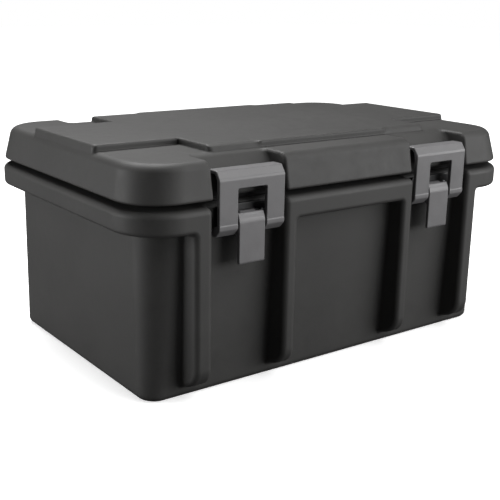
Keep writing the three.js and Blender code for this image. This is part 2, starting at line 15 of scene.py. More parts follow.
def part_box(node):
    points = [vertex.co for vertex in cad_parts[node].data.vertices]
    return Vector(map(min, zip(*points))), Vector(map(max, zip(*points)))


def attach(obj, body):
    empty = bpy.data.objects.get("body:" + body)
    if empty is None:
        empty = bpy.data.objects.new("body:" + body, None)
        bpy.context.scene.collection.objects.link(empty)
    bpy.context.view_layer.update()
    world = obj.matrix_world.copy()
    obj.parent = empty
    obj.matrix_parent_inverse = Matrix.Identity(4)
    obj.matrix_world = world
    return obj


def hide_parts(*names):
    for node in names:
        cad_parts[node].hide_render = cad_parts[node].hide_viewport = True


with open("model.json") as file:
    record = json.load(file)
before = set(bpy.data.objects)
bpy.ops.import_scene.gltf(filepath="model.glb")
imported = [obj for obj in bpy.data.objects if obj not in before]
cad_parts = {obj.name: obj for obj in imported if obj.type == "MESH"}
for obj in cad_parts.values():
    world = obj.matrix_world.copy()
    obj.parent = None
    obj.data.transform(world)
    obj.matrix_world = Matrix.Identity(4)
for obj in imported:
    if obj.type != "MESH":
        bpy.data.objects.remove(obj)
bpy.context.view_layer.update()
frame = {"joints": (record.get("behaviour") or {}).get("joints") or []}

MM = 0.001
INSIDE_BOX = 0.1  # how far the outermost faces stay inside the CAD box


# ---- places and sizes from the frame ----
def box_mm(node):
    low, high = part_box(node)
    return [value / MM for value in low], [value / MM for value in high]


def pivot_mm(joint_name):
    place = next(joint["pos_m"] for joint in frame["joints"] if joint["name"] == joint_name)
    x, y, z = (value / MM for value in place)
    return {"x": x, "out": abs(y), "up": z}


TUB_HIGH = box_mm("body_shell")[1]
LID_LOW, LID_HIGH = box_mm("lid_shell")
LEVER_PIVOT = pivot_mm("right_lever_pivot")
LINK_PIVOT = pivot_mm("right_link_pivot")
HINGE_AXIS = pivot_mm("lid_hinge")
STATION_X = LEVER_PIVOT["x"]  # latches and hinges sit this far left and right of the middle
SIDES = {"left": -STATION_X, "right": STATION_X}

# ---- driving dimensions of the tub ----
RIM_X = TUB_HIGH[0] - INSIDE_BOX
RIM_Y = TUB_HIGH[1] - INSIDE_BOX
RIM_TOP = TUB_HIGH[2]
RIM_CORNER = 66
RIM_UNDER = 224
RIM_EDGE = 8
WALL_X = 305.5
WALL_Y = 201.5
WALL_FOOT_Y = 194  # the front and back walls lean in towards the base
WALL_CORNERS = (26, 44)  # at the base and under the rim
BASE_EDGE = 9.5
RIB_CENTRES = (106, 243.5)
RIB_HALF = 9.2
RIB_BOTTOM = 24
RIB_BOTTOM_SLOPE = 0.23
RIB_TOE = 22  # radius of a rib's lower end, seen from the side
RIB_EDGE = 6
RIB_FOOT_RUN = RIM_Y - WALL_FOOT_Y + 5  # how far in a rib's foot keeps sloping, to just behind the wall
DRAFT = 0.215  # sideways per distance inwards
CREASE = 3.5
WINDOW_CORNER = 5
CHANNEL_CENTRE = 172.25
CHANNEL_HALF = 57.6
CAVITY = {"floor": 76, "low": (250.5, 148.5, 27), "high": (256, 153.5, 32), "floor_edge": 9}
LEDGE = 236
LEDGE_ROUNDS = {"outer": 2.5, "inner": 3}
MOUTH = (270.5, 168.5, 40.5)
MOUTH_EDGE = 4
SKIN = 4  # thickness of the moulded walls

# ---- driving dimensions of the lid ----
LID_BOTTOM = 262
LID_DECK = 309.5
LID_INSET = 2.4
LID_SLOPE = 0.197
LID_CORNER = 62
LID_LOW_EDGE = 4
LID_HIGH_EDGE = 10
PLATEAU_TOP = LID_HIGH[2]
PLATEAU_LONG = (2.2, 91.5, 6)  # inset from the lid's sloping end, half width, corner
PLATEAU_WIDE = (194.5, 165.5, 8)
PLATEAU_EDGE = 3.2
PLATEAU_FOOT = 1.8
PLATEAU_ROOT = LID_BOTTOM + 10  # its underside, buried in the lid
PLUG = {
    "bottom": LID_LOW[2], "x": 266, "y": 164, "corner": 38,
    "slope": 0.25, "edge": 3, "root": 10, "join": 2,
}
POCKET = {"half": 56, "back": 208.5, "lip_rear": 201.5, "lip_top": 291, "floor": 281}
POCKET_REAR = {"out": 191, "bend": 288, "slope": 1}  # upright up to the bend, then leaning back
POCKET_ROUNDS = {"bend": 4, "floor": 4, "lip": 3, "ends": 6}
POCKET_EDGE = 4.5

# ---- driving dimensions of the fittings ----
FACE = 226.5  # front of the latches
LOOP = {
    "half": 50.3, "plate": 6, "top": 297, "window": 22.2, "window_top": 273.5,
    "bevel_low": 286.5, "bevel_in": 7.5,
}
LOOP_INSIDE = {"bevel_drop": 0.7, "bevel_in": 5.2}  # the same bevel on the plate's back
LOOP_ROUNDS = {"front": 1.6, "inside": 1.5, "sides": 1.4, "window": 2.5, "window_rim": 1.1, "join": 1.2}
# The hook's bend by its middle and radii, the height it is cut at, and how far forwards the cut runs.
HOOK = {"out": 204, "outer": 9, "inner": 4.5, "tip": 284, "end": 6}
CURL = {"radius": 6, "flat": 3.5, "bend": 3, "top": 10, "edge": 1.8}  # round the link pin
LEVER = {
    "half": 20, "plate": 5, "top": 241.5, "bottom": 176, "bevel_low": 232, "bevel_rear": 0.5,
    "thicker": 2,  # at its top than at the link pin
}
LEVER_ROUNDS = {"front": 1.6, "top": 1.2, "rear": 1.0, "bottom": 1.8, "sides": 1.4, "join": 1.2}
# The lever's hubs, with the heights below and above the pin that their webs take in.
TOP_HUB = {"radius": 6, "web_low": 9, "web_high": 4, "shoulder": 5, "half": 12}
LOW_HUB = {"radius": 5.5, "web_low": 8, "web_high": 7, "shoulder": 5.3, "half": LEVER["half"]}
HUB_ROUNDS = {"web": 0.8, "ends": 0.9}
WEB_ROOT = 1  # how far the hubs' webs run into the lever's plate
FITTING_FACE = WALL_Y + 0.8  # back of everything screwed to the tub
PLATE_EDGE = 1.2  # of the plates of brackets and hinges
BRACKET = {
    "face": FITTING_FACE, "half": 38, "plate": 3.7, "bottom": 217, "top": 250,
    "corner": 5, "join": 1.5,
}
# The bracket's ears: where they stand across, and how their outline lies about the pin.
EAR = {"near": 12.5, "far": 18, "root": 1, "foot": 11, "nose": (2, 5.4), "top": 4, "radius": 6}
EAR_ROUNDS = {"outline": 1, "sides": 0.8}
LEAF = {"half": 28, "plate": 3.6, "corner": 4, "join": 2}
BODY_LEAF = {**LEAF, "face": FITTING_FACE, "bottom": 206, "top": 246}
LID_LEAF = {**LEAF, "face": POCKET["back"] + 0.3, "bottom": 264, "top": 286}
KNUCKLE = {"radius": 5.5, "half": 9.5, "gap": 0.3}
# The hinge's arms: the heights where they leave the leaf, and their bends by out and up from the axis.
BODY_ARM = {"rear": 236, "front": 234, "before": (3.4, -3.9), "behind": (-4, 3.3)}
LID_ARM = {"top": 272, "below": (-3.6, -3.7), "above": (3, 4.1)}
ARM_ROUNDS = {"outline": 1, "sides": 0.9}
FILL_HOLE = {"radius": 15, "flange": 20, "flange_depth": 1.7, "depth": 8}
SCREW = {
    "head": 4, "height": 2.3, "dome": 1.3, "shank": 2, "shank_top": 1, "length": 13,
    "slot": 0.6, "slot_reach": 2.2, "slot_depth": 1.3, "slot_edge": 0.2,
}
SLOT_TURN = 0.5  # radians, for each number in a pair
GASKET = {"width": 10, "corner": 44, "back": 2, "bevel": (1.2, 1.6)}
PIN = {"chamfer": 0.6, "crown": 0.1}
FOAM_PLUG = {"edge": 0.6, "chamfer": 0.8}
# Radius and height over the face, from the middle and from the flange's edge.
FOAM_PLUG_DISH = [(0.01, 1), (9, 0.8), (10.5, 0.1), (12.5, 0.1), (14, 0.6)]
FOAM_PLUG_RING = [(-2, 0.5), (-1, 0), (-0.3, 0.2), (0, 0.6)]


# ---- distance fields ----
def cut_round(a, b, radius):
    """What is in both, with the edge between them rounded."""
    corner = np.hypot(np.maximum(a + radius, 0), np.maximum(b + radius, 0))
    return np.minimum(np.maximum(a, b), -radius) + corner


def join_round(a, b, radius):
    """What is in either, with a fillet between them."""
    return -cut_round(-a, -b, radius)


def rounded_rect(u, v, half_u, half_v, radius):
    across = np.abs(u) - half_u + radius
    along = np.abs(v) - half_v + radius
    corner = np.hypot(np.maximum(across, 0), np.maximum(along, 0))
    return corner + np.minimum(np.maximum(across, along), 0) - radius


def plane(u, v, start, end):
    """Distance to the right of a line from start to end."""
    along_u, along_v = end[0] - start[0], end[1] - start[1]
    length = math.hypot(along_u, along_v)
    return ((u - start[0]) * along_v - (v - start[1]) * along_u) / length


def convex(u, v, points, radius):
    """A convex outline, anticlockwise, with rounded corners."""
    field = plane(u, v, points[-1], points[0])
    for start, end in zip(points, points[1:]):
        field = cut_round(field, plane(u, v, start, end), radius)
    return field


def disc(u, v, pivot, radius):
    return np.hypot(u - pivot["out"], v - pivot["up"]) - radius


def mix(a, b, share):
    """From a to b, and no further either way."""
    return a + (b - a) * np.clip(share, 0, 1)


def fill_hole(x, y, height):
    """The stepped hole that the foam is poured through, by height over the face that it is cut in."""
    radius = np.hypot(x, y)
    flange = np.maximum(radius - FILL_HOLE["flange"], height - FILL_HOLE["flange_depth"])
    return np.minimum(flange, np.maximum(radius - FILL_HOLE["radius"], height - FILL_HOLE["depth"]))


# ---- the tub ----
def tub_windows(across, depth, z):
    """The recesses between the ribs, under the rim, and the latch channels."""
    lean = DRAFT * depth
    square = math.cos(math.atan(DRAFT))
    inner, outer = RIB_CENTRES
    under = z - RIM_UNDER
    middle = cut_round((across - inner + RIB_HALF + lean) * square, under, WINDOW_CORNER)
    end = cut_round((outer + RIB_HALF + lean - across) * square, under, WINDOW_CORNER)
    channel = (np.abs(across - CHANNEL_CENTRE) - CHANNEL_HALF + lean) * square
    return np.minimum(np.minimum(middle, end), channel)


def tub_outside(x, y, z):
    across, out = np.abs(x), np.abs(y)
    depth = RIM_Y - out
    rise = z / RIM_UNDER
    corner = mix(*WALL_CORNERS, rise)
    wall = rounded_rect(x, y, WALL_X, mix(WALL_FOOT_Y, WALL_Y, rise), corner)
    wall = cut_round(wall, -z, BASE_EDGE)
    outline = rounded_rect(x, y, RIM_X, RIM_Y, RIM_CORNER)
    toe = RIB_BOTTOM - RIB_BOTTOM_SLOPE * np.minimum(depth, RIB_FOOT_RUN) - z
    proud = cut_round(outline, toe, RIB_TOE)
    proud = cut_round(proud, -tub_windows(across, depth, z), RIB_EDGE)
    return cut_round(join_round(wall, proud, CREASE), z - RIM_TOP, RIM_EDGE)


def tub_cavity(x, y, z):
    share = (z - CAVITY["floor"]) / (LEDGE - CAVITY["floor"])
    sides = (mix(low, high, share) for low, high in zip(CAVITY["low"], CAVITY["high"]))
    bowl = cut_round(rounded_rect(x, y, *sides), CAVITY["floor"] - z, CAVITY["floor_edge"])
    mouth = cut_round(rounded_rect(x, y, *MOUTH), LEDGE - z, LEDGE_ROUNDS["outer"])
    return join_round(bowl, mouth, LEDGE_ROUNDS["inner"])


def tub(x, y, z):
    form = cut_round(tub_outside(x, y, z), -tub_cavity(x, y, z), MOUTH_EDGE)
    return np.maximum(form, -fill_hole(x, y, z))


def tub_foam(x, y, z):
    """The tub's filling: all that lies deeper than the skin."""
    return tub(x, y, z) + SKIN


# ---- the lid ----
def lid_pocket(x, y, z):
    """The pocket in the lid's edge: open below and outwards, with a lip along it for the hook."""
    out = np.abs(y)
    upright = POCKET_REAR["out"] - out
    leaning = upright - POCKET_REAR["slope"] * (z - POCKET_REAR["bend"])
    square = math.cos(math.atan(POCKET_REAR["slope"]))
    rear = join_round(upright, leaning * square, POCKET_ROUNDS["bend"])
    groove = cut_round(POCKET["floor"] - z, rear, POCKET_ROUNDS["floor"])
    notch = np.minimum(groove, POCKET["back"] - out)
    lip_half = (POCKET["back"] - POCKET["lip_rear"]) / 2
    lip = np.abs(out - POCKET["lip_rear"] - lip_half) - lip_half
    notch = np.maximum(notch, -cut_round(lip, z - POCKET["lip_top"], POCKET_ROUNDS["lip"]))
    return cut_round(notch, np.abs(np.abs(x) - STATION_X) - POCKET["half"], POCKET_ROUNDS["ends"])


def lid_outside(x, y, z):
    inset = LID_INSET + LID_SLOPE * (z - LID_BOTTOM)
    square = math.cos(math.atan(LID_SLOPE))
    side = rounded_rect(x, y, RIM_X - inset, RIM_Y - inset, LID_CORNER) * square
    block = cut_round(cut_round(side, LID_BOTTOM - z, LID_LOW_EDGE), z - LID_DECK, LID_HIGH_EDGE)
    end_inset, half_y, corner = PLATEAU_LONG
    long = rounded_rect(x, y, RIM_X - inset - end_inset, half_y, corner) * square
    wide = rounded_rect(x, y, *PLATEAU_WIDE)
    raised = join_round(long, wide, PLATEAU_FOOT)
    raised = cut_round(raised, z - PLATEAU_TOP, PLATEAU_EDGE)
    raised = np.maximum(raised, PLATEAU_ROOT - z)
    return join_round(block, raised, PLATEAU_FOOT)


def lid_plug(x, y, z):
    """The lid's underside, which reaches down into the tub's mouth."""
    inset = PLUG["slope"] * np.maximum(LID_BOTTOM - z, 0)
    side = rounded_rect(x, y, PLUG["x"] - inset, PLUG["y"] - inset, PLUG["corner"] - inset)
    return cut_round(np.maximum(side, z - LID_BOTTOM - PLUG["root"]), PLUG["bottom"] - z, PLUG["edge"])


def lid(x, y, z):
    shell = cut_round(lid_outside(x, y, z), -lid_pocket(x, y, z), POCKET_EDGE)
    body = join_round(shell, lid_plug(x, y, z), PLUG["join"])
    return np.maximum(body, -fill_hole(x, y, z - PLUG["bottom"]))


def lid_foam(x, y, z):
    """The lid's filling, likewise."""
    return lid(x, y, z) + SKIN


# ---- the draw latch, drawn at x = 0 with its front at y = -FACE ----
def latch_loop(x, y, z):
    """A plate with a window, hooked over the lid's lip at the top and curled round the link pin below."""
    out = -y
    rounds = LOOP_ROUNDS
    rear = FACE - LOOP["plate"]
    tip_side = HOOK["out"] - out
    bevel = plane(out, z, (FACE, LOOP["bevel_low"]), (FACE - LOOP["bevel_in"], LOOP["top"]))
    outer = cut_round(out - FACE, bevel, rounds["front"])
    outer = cut_round(outer, z - LOOP["top"], rounds["front"])
    outer = cut_round(outer, tip_side - HOOK["outer"], HOOK["outer"])
    roof = LOOP["top"] - HOOK["inner"]
    bevel_low = LOOP["bevel_low"] - LOOP_INSIDE["bevel_drop"]
    bevel = plane(out, z, (rear, bevel_low), (rear - LOOP_INSIDE["bevel_in"], roof))
    inner = cut_round(out - rear, bevel, rounds["inside"])
    inner = cut_round(inner, z - roof, rounds["inside"])
    inner = cut_round(inner, tip_side - HOOK["inner"], HOOK["inner"])
    beyond_hook = HOOK["out"] + HOOK["end"]
    end = np.minimum(beyond_hook - out, HOOK["tip"] - z)
    hook = cut_round(np.maximum(outer, -inner), end, rounds["inside"])
    pin_out, up = LINK_PIVOT["out"], LINK_PIVOT["up"]
    leg = cut_round(hook, up + CURL["bend"] - z, rounds["inside"])
    curl_points = [
        (pin_out, up - CURL["radius"]),
        (pin_out + CURL["flat"], up - CURL["radius"]),
        (FACE, up + CURL["bend"]),
        (FACE, up + CURL["top"]),
        (rear, up + CURL["top"]),
        (pin_out, up + CURL["radius"]),
    ]
    curl = convex(out, z, curl_points, CURL["edge"])
    curl = np.minimum(curl, disc(out, z, LINK_PIVOT, CURL["radius"]))
    body = cut_round(join_round(leg, curl, rounds["join"]), np.abs(x) - LOOP["half"], rounds["sides"])
    window = cut_round(np.abs(x) - LOOP["window"], z - LOOP["window_top"], rounds["window"])
    return cut_round(body, -window, rounds["window_rim"])


def lever_hub(x, out, z, pivot, hub):
    """A hub round a pin, with its web to the back of the lever."""
    web_rear, up = FACE - LEVER["plate"] + WEB_ROOT, pivot["up"]
    points = [
        (pivot["out"], up - hub["radius"]),
        (web_rear, up - hub["web_low"]),
        (web_rear, up + hub["web_high"]),
        (pivot["out"], up + hub["shoulder"]),
    ]
    body = np.minimum(convex(out, z, points, HUB_ROUNDS["web"]), disc(out, z, pivot, hub["radius"]))
    return cut_round(body, np.abs(x) - hub["half"], HUB_ROUNDS["ends"])


def latch_lever(x, y, z):
    """The tongue in the loop's window: a plate that is thicker towards its top, on two hubs."""
    out = -y
    rounds = LEVER_ROUNDS
    rear = FACE - LEVER["plate"]
    bevel = plane(out, z, (FACE, LEVER["bevel_low"]), (rear + LEVER["bevel_rear"], LEVER["top"]))
    tongue = cut_round(out - FACE, bevel, rounds["front"])
    tongue = cut_round(tongue, z - LEVER["top"], rounds["top"])
    rise = (z - LINK_PIVOT["up"]) / (LEVER["top"] - LINK_PIVOT["up"])
    tongue = cut_round(tongue, rear - mix(0, LEVER["thicker"], rise) - out, rounds["rear"])
    tongue = cut_round(tongue, LEVER["bottom"] - z, rounds["bottom"])
    plate = cut_round(tongue, np.abs(x) - LEVER["half"], rounds["sides"])
    top_hub = lever_hub(x, out, z, LEVER_PIVOT, TOP_HUB)
    low_hub = lever_hub(x, out, z, LINK_PIVOT, LOW_HUB)
    return join_round(plate, np.minimum(top_hub, low_hub), rounds["join"])


def fitting_plate(x, out, z, size):
    """The plate of a fitting that is screwed to a face."""
    middle, half = (size["bottom"] + size["top"]) / 2, (size["top"] - size["bottom"]) / 2
    front = size["face"] + size["plate"]
    outline = rounded_rect(x, z - middle, size["half"], half, size["corner"])
    return np.maximum(cut_round(outline, out - front, PLATE_EDGE), size["face"] - out)


def latch_bracket(x, y, z):
    """A plate with two ears that hold the lever's pin."""
    out = -y
    pin_out, up = LEVER_PIVOT["out"], LEVER_PIVOT["up"]
    root, front = BRACKET["face"] + EAR["root"], BRACKET["face"] + BRACKET["plate"]
    nose_out, nose_down = EAR["nose"]
    points = [
        (root, up - EAR["foot"]),
        (front, up - EAR["foot"]),
        (pin_out + nose_out, up - nose_down),
        (pin_out, up + EAR["top"]),
        (root, up + EAR["top"]),
    ]
    ear = convex(out, z, points, EAR_ROUNDS["outline"])
    ear = np.minimum(ear, disc(out, z, LEVER_PIVOT, EAR["radius"]))
    middle, half = (EAR["near"] + EAR["far"]) / 2, (EAR["far"] - EAR["near"]) / 2
    ear = cut_round(ear, np.abs(np.abs(x) - middle) - half, EAR_ROUNDS["sides"])
    return join_round(fitting_plate(x, out, z, BRACKET), ear, BRACKET["join"])


# ---- the hinge, drawn at x = 0 on the back ----
def off_axis(bend):
    """A point by how far out and up it is from the hinge's axis."""
    return HINGE_AXIS["out"] + bend[0], HINGE_AXIS["up"] + bend[1]


def hinge_arm(out, z, points):
    """A leaf's arm with its knuckle, seen along the axis."""
    arm = convex(out, z, points, ARM_ROUNDS["outline"])
    return np.minimum(arm, disc(out, z, HINGE_AXIS, KNUCKLE["radius"]))


def hinge_body_leaf(x, y, z):
    """The tub's leaf, with the two outer knuckles."""
    face, front = BODY_LEAF["face"], BODY_LEAF["face"] + BODY_LEAF["plate"]
    points = [
        (face, BODY_ARM["rear"]),
        (front, BODY_ARM["front"]),
        off_axis(BODY_ARM["before"]),
        off_axis((0, 0)),
        off_axis(BODY_ARM["behind"]),
        (face, BODY_LEAF["top"]),
    ]
    reach = (BODY_LEAF["half"] - KNUCKLE["half"] - KNUCKLE["gap"]) / 2
    sides = np.abs(np.abs(x) - BODY_LEAF["half"] + reach) - reach
    arm = cut_round(hinge_arm(y, z, points), sides, ARM_ROUNDS["sides"])
    return join_round(fitting_plate(x, y, z, BODY_LEAF), arm, BODY_LEAF["join"])


def hinge_lid_leaf(x, y, z):
    """The lid's leaf, with the middle knuckle."""
    face, front = LID_LEAF["face"], LID_LEAF["face"] + LID_LEAF["plate"]
    points = [
        (face, LID_LEAF["bottom"]),
        off_axis(LID_ARM["below"]),
        off_axis((0, 0)),
        off_axis(LID_ARM["above"]),
        (front, LID_ARM["top"]),
        (face, LID_ARM["top"]),
    ]
    arm = cut_round(hinge_arm(y, z, points), np.abs(x) - KNUCKLE["half"], ARM_ROUNDS["sides"])
    return join_round(fitting_plate(x, y, z, LID_LEAF), arm, LID_LEAF["join"])


# ---- a pan-head screw, drawn about z with its head up from z = 0 ----
def screw(x, y, z):
    radius = np.hypot(x, y)
    head = cut_round(np.maximum(radius - SCREW["head"], -z), z - SCREW["height"], SCREW["dome"])
    reach = np.minimum(
        np.maximum(np.abs(x) - SCREW["slot"], np.abs(y) - SCREW["slot_reach"]),
        np.maximum(np.abs(y) - SCREW["slot"], np.abs(x) - SCREW["slot_reach"]),
    )
    recess = np.maximum(reach, SCREW["height"] - SCREW["slot_depth"] - z)
    shank = np.maximum(np.maximum(radius - SCREW["shank"], z - SCREW["shank_top"]), -SCREW["length"] - z)
    return np.minimum(cut_round(head, -recess, SCREW["slot_edge"]), shank)


# ---- meshing ----
SHARP_DEGREES = 35  # between faces of the turned pieces and the seal
FINE = 0.6  # grid step across the thin parts of the fittings


def ruler(*spans):
    """Grid lines: a start, then pairs of where a span ends and the step in it."""
    start, lines = spans[0], []
    for end, step in zip(spans[1::2], spans[2::2]):
        count = max(1, round((end - start) / step))
        lines.extend(np.linspace(start, end, count, endpoint=False))
        start = end
    return np.array(lines + [start])


def mirrored(*spans):
    """The same from 0, on both sides of it."""
    half = ruler(0, *spans)
    return np.concatenate([-half[:0:-1], half])


def slope_of(field, points, reach=0.02):
    """The field's gradient at each point."""
    slope = np.empty_like(points)
    for axis in range(3):
        step = np.zeros(3)
        step[axis] = reach
        slope[:, axis] = (field(*(points + step).T) - field(*(points - step).T)) / (2 * reach)
    return slope


def surface_net(field, lines):
    """Vertices and quads of a field's surface on a grid of uneven lines."""
    values = field(*np.meshgrid(*lines, indexing="ij"))
    cells = np.array(values.shape) - 1
    total = np.zeros((cells.prod(), 3))
    count = np.zeros(cells.prod())
    quads = []
    for axis in range(3):
        low = values[tuple(slice(None, -1) if k == axis else slice(None) for k in range(3))]
        high = values[tuple(slice(1, None) if k == axis else slice(None) for k in range(3))]
        places = np.array(np.nonzero((low < 0) != (high < 0)))
        before, after = low[tuple(places)], high[tuple(places)]
        points = np.stack([lines[k][places[k]] for k in range(3)], axis=1)
        stride = lines[axis][places[axis] + 1] - lines[axis][places[axis]]
        points[:, axis] += stride * before / (before - after)
        around = []
        for along_u, along_v in ((-1, -1), (0, -1), (0, 0), (-1, 0)):
            cell = places.copy()
            cell[(axis + 1) % 3] += along_u
            cell[(axis + 2) % 3] += along_v
            index = np.ravel_multi_index(tuple(cell), cells)
            around.append(index)
            for k in range(3):
                total[:, k] += np.bincount(index, points[:, k], len(count))
            count += np.bincount(index, minlength=len(count))
        quad = np.stack(around, axis=1)
        quads.append(np.where((before < 0)[:, None], quad, quad[:, ::-1]))
    used = count > 0
    renumber = np.cumsum(used) - 1
    return total[used] / count[used, None], renumber[np.concatenate(quads)]


def settle(field, points, limit=2.0, rounds=4, least_steep=0.2):
    """The points moved onto the field's surface, by no more than the limit in a round."""
    for _ in range(rounds):
        slope = slope_of(field, points)
        steep = np.maximum((slope**2).sum(axis=1), least_steep)
        step = np.clip(field(*points.T) / steep, -limit, limit)
        points = points - step[:, None] * slope
    return points


def edge_share(field, points, normals, reach):
    """How far the surface bends away (1) or towards (-1) within reach: where wear and dust gather."""
    side = np.cross(normals, np.where(np.abs(normals[:, 2:]) < 0.7, [0.0, 0, 1], [1.0, 0, 0]))
    side /= np.linalg.norm(side, axis=1)[:, None]
    ahead = np.cross(normals, side)
    total = sum(field(*(points + reach * way).T) for way in (side, -side, ahead, -ahead))
    return np.clip(total / (2 * reach), -1, 1)


def mesh_of(name, points, faces, normals, edge):
    """A smooth mesh in metres from points in millimetres."""
    mesh = bpy.data.meshes.new(name)
    faces = np.asarray(faces)
    sides = faces.shape[1]
    mesh.vertices.add(len(points))
    mesh.vertices.foreach_set("co", (np.asarray(points) * MM).astype(np.float32).ravel())
    mesh.loops.add(faces.size)
    mesh.loops.foreach_set("vertex_index", faces.astype(np.int32).ravel())
    mesh.polygons.add(len(faces))
    mesh.polygons.foreach_set("loop_start", np.arange(0, faces.size, sides, dtype=np.int32))
    mesh.update(calc_edges=True)
    mesh.validate()
    mesh.polygons.foreach_set("use_smooth", np.ones(len(faces), bool))
    share = mesh.attributes.new("edge", "FLOAT", "POINT")
    share.data.foreach_set("value", edge.astype(np.float32))
    mesh.normals_split_custom_set_from_vertices(normals.tolist())
    return mesh


def moulded_mesh(name, field, lines, reach=2.5):
    """A field's surface as a smooth mesh, with its edges marked as far as reach from them."""
    points, faces = surface_net(field, lines)
    points = settle(field, points)
    normals = slope_of(field, points)
    normals /= np.linalg.norm(normals, axis=1)[:, None]
    return mesh_of(name, points, faces, normals, edge_share(field, points, normals, reach))


def rings_mesh(name, rings, closed):
    """A mesh through rings of points: a loop of rings if closed, or else with flat ends."""
    rings = np.array(rings)
    levels, around = rings.shape[:2]
    faces = []
    for level in range(levels if closed else levels - 1):
        low, high = level * around, (level + 1) % levels * around
        for i in range(around):
            after = (i + 1) % around
            faces.append((low + i, low + after, high + after, high + i))
    if not closed:
        faces.append(tuple(range(around - 1, -1, -1)))
        faces.append(tuple(range((levels - 1) * around, levels * around)))
    mesh = bpy.data.meshes.new(name)
    mesh.from_pydata((rings.reshape(-1, 3) * MM).tolist(), [], faces)
    mesh.polygons.foreach_set("use_smooth", np.ones(len(faces), bool))
    mesh.set_sharp_from_angle(angle=math.radians(SHARP_DEGREES))
    return mesh


def turned_mesh(name, profile, segments, turn=Matrix.Identity(3)):
    """A turned body from [radius, height] points, lowest first, about z before it is turned."""
    turn = np.array(turn)
    angles = np.arange(segments) * 2 * math.pi / segments
    rings = [
        [turn @ (radius * math.cos(angle), radius * math.sin(angle), height) for angle in angles]
        for radius, height in profile
    ]
    return rings_mesh(name, rings, closed=False)


def arc(centre_u, centre_v, radius, start, end, steps):
    """Points of an arc, by angles in degrees."""
    angles = np.radians(np.linspace(start, end, steps + 1))
    return [(centre_u + radius * math.cos(a), centre_v + radius * math.sin(a)) for a in angles]


def gasket_mesh(name):
    """A seal with a flat back against the lid and a round bulb that the tub's rim presses on."""
    low, high = box_mm("lid_gasket")
    half_x, half_y, width, corner = high[0], high[1], GASKET["width"], GASKET["corner"]
    bulb = (high[2] - low[2] - GASKET["back"]) / 2
    back_low, (bevel_in, bevel_down) = low[2] + 2 * bulb, GASKET["bevel"]
    profile = arc(0, low[2] + bulb, bulb, -160, -20, 14)
    profile += [(width / 2 - bevel_in, back_low - bevel_down), (width / 2, back_low), (width / 2, high[2])]
    profile += [(-u, v) for u, v in profile[:-4:-1]]
    rings = []
    for quarter in range(4):
        sign_x, sign_y = ((1, 1), (-1, 1), (-1, -1), (1, -1))[quarter]
        for angle in np.radians(np.linspace(0, 90, 13) + 90 * quarter):
            centre = (sign_x * (half_x - corner), sign_y * (half_y - corner))
            reach = [corner - width / 2 + u for u, _ in profile]
            rings.append([
                (centre[0] + r * math.cos(angle), centre[1] + r * math.sin(angle), v)
                for r, (_, v) in zip(reach, profile)
            ])
    return rings_mesh(name, rings, closed=True)


# ---- materials ----
def node(tree, kind, inputs=(), **settings):
    made = tree.nodes.new(kind)
    for key, value in settings.items():
        setattr(made, key, value)
    for socket, value in dict(inputs).items():
        if isinstance(value, bpy.types.NodeSocket):
            tree.links.new(value, made.inputs[socket])
        else:
            made.inputs[socket].default_value = value
    return made


def noise(tree, place, scale, detail, roughness=0.5):
    inputs = {"Vector": place, "Scale": scale, "Detail": detail, "Roughness": roughness}
    return node(tree, "ShaderNodeTexNoise", inputs).outputs["Fac"]


def remap(tree, value, low, high, to_low, to_high):
    inputs = {"Value": value, "From Min": low, "From Max": high, "To Min": to_low, "To Max": to_high}
    return node(tree, "ShaderNodeMapRange", inputs).outputs["Result"]


def times(tree, a, b):
    return node(tree, "ShaderNodeMath", {0: a, 1: b}, operation="MULTIPLY").outputs[0]


def plus(tree, a, b):
    return node(tree, "ShaderNodeMath", {0: a, 1: b}, operation="ADD").outputs[0]


def tinted(tree, share, a, b):
    mixer = node(tree, "ShaderNodeMix", {0: share}, data_type="RGBA")
    for socket, value in ((6, a), (7, b)):
        if isinstance(value, bpy.types.NodeSocket):
            tree.links.new(value, mixer.inputs[socket])
        else:
            mixer.inputs[socket].default_value = (*value, 1)
    return mixer.outputs[2]


# Scale, detail and roughness of the noises that are the same in every material.
BROAD_NOISE = (7, 3)
CLOUD_NOISE = (60, 4, 0.6)
PATCH_NOISE = (38, 5, 0.65)
PEEL_NOISE = (90, 2, 0.4)
NOISE_SPAN = (0.3, 0.7)  # what a noise mostly stays between
MOTTLE = {"broad": 0.6, "cloud": 0.4}
PATCH_SPAN = (0.38, 0.62)
LEAST_WEAR = 0.25  # between the patches, of what is in them
EDGE_SPAN = (0.08, 0.5)  # the edge shares between which wear sets in
ROUGHNESS_SWING = 0.04
WEAR_POLISH = -0.12  # what full wear adds to the roughness
FLECK = {"of_grain": 0.6, "detail": 2, "swing": 0.18}
PEBBLES = {"detail": 3, "roughness": 0.6}
RELIEF_DEPTH = {"grain": 0.25, "peel": 0.0006}


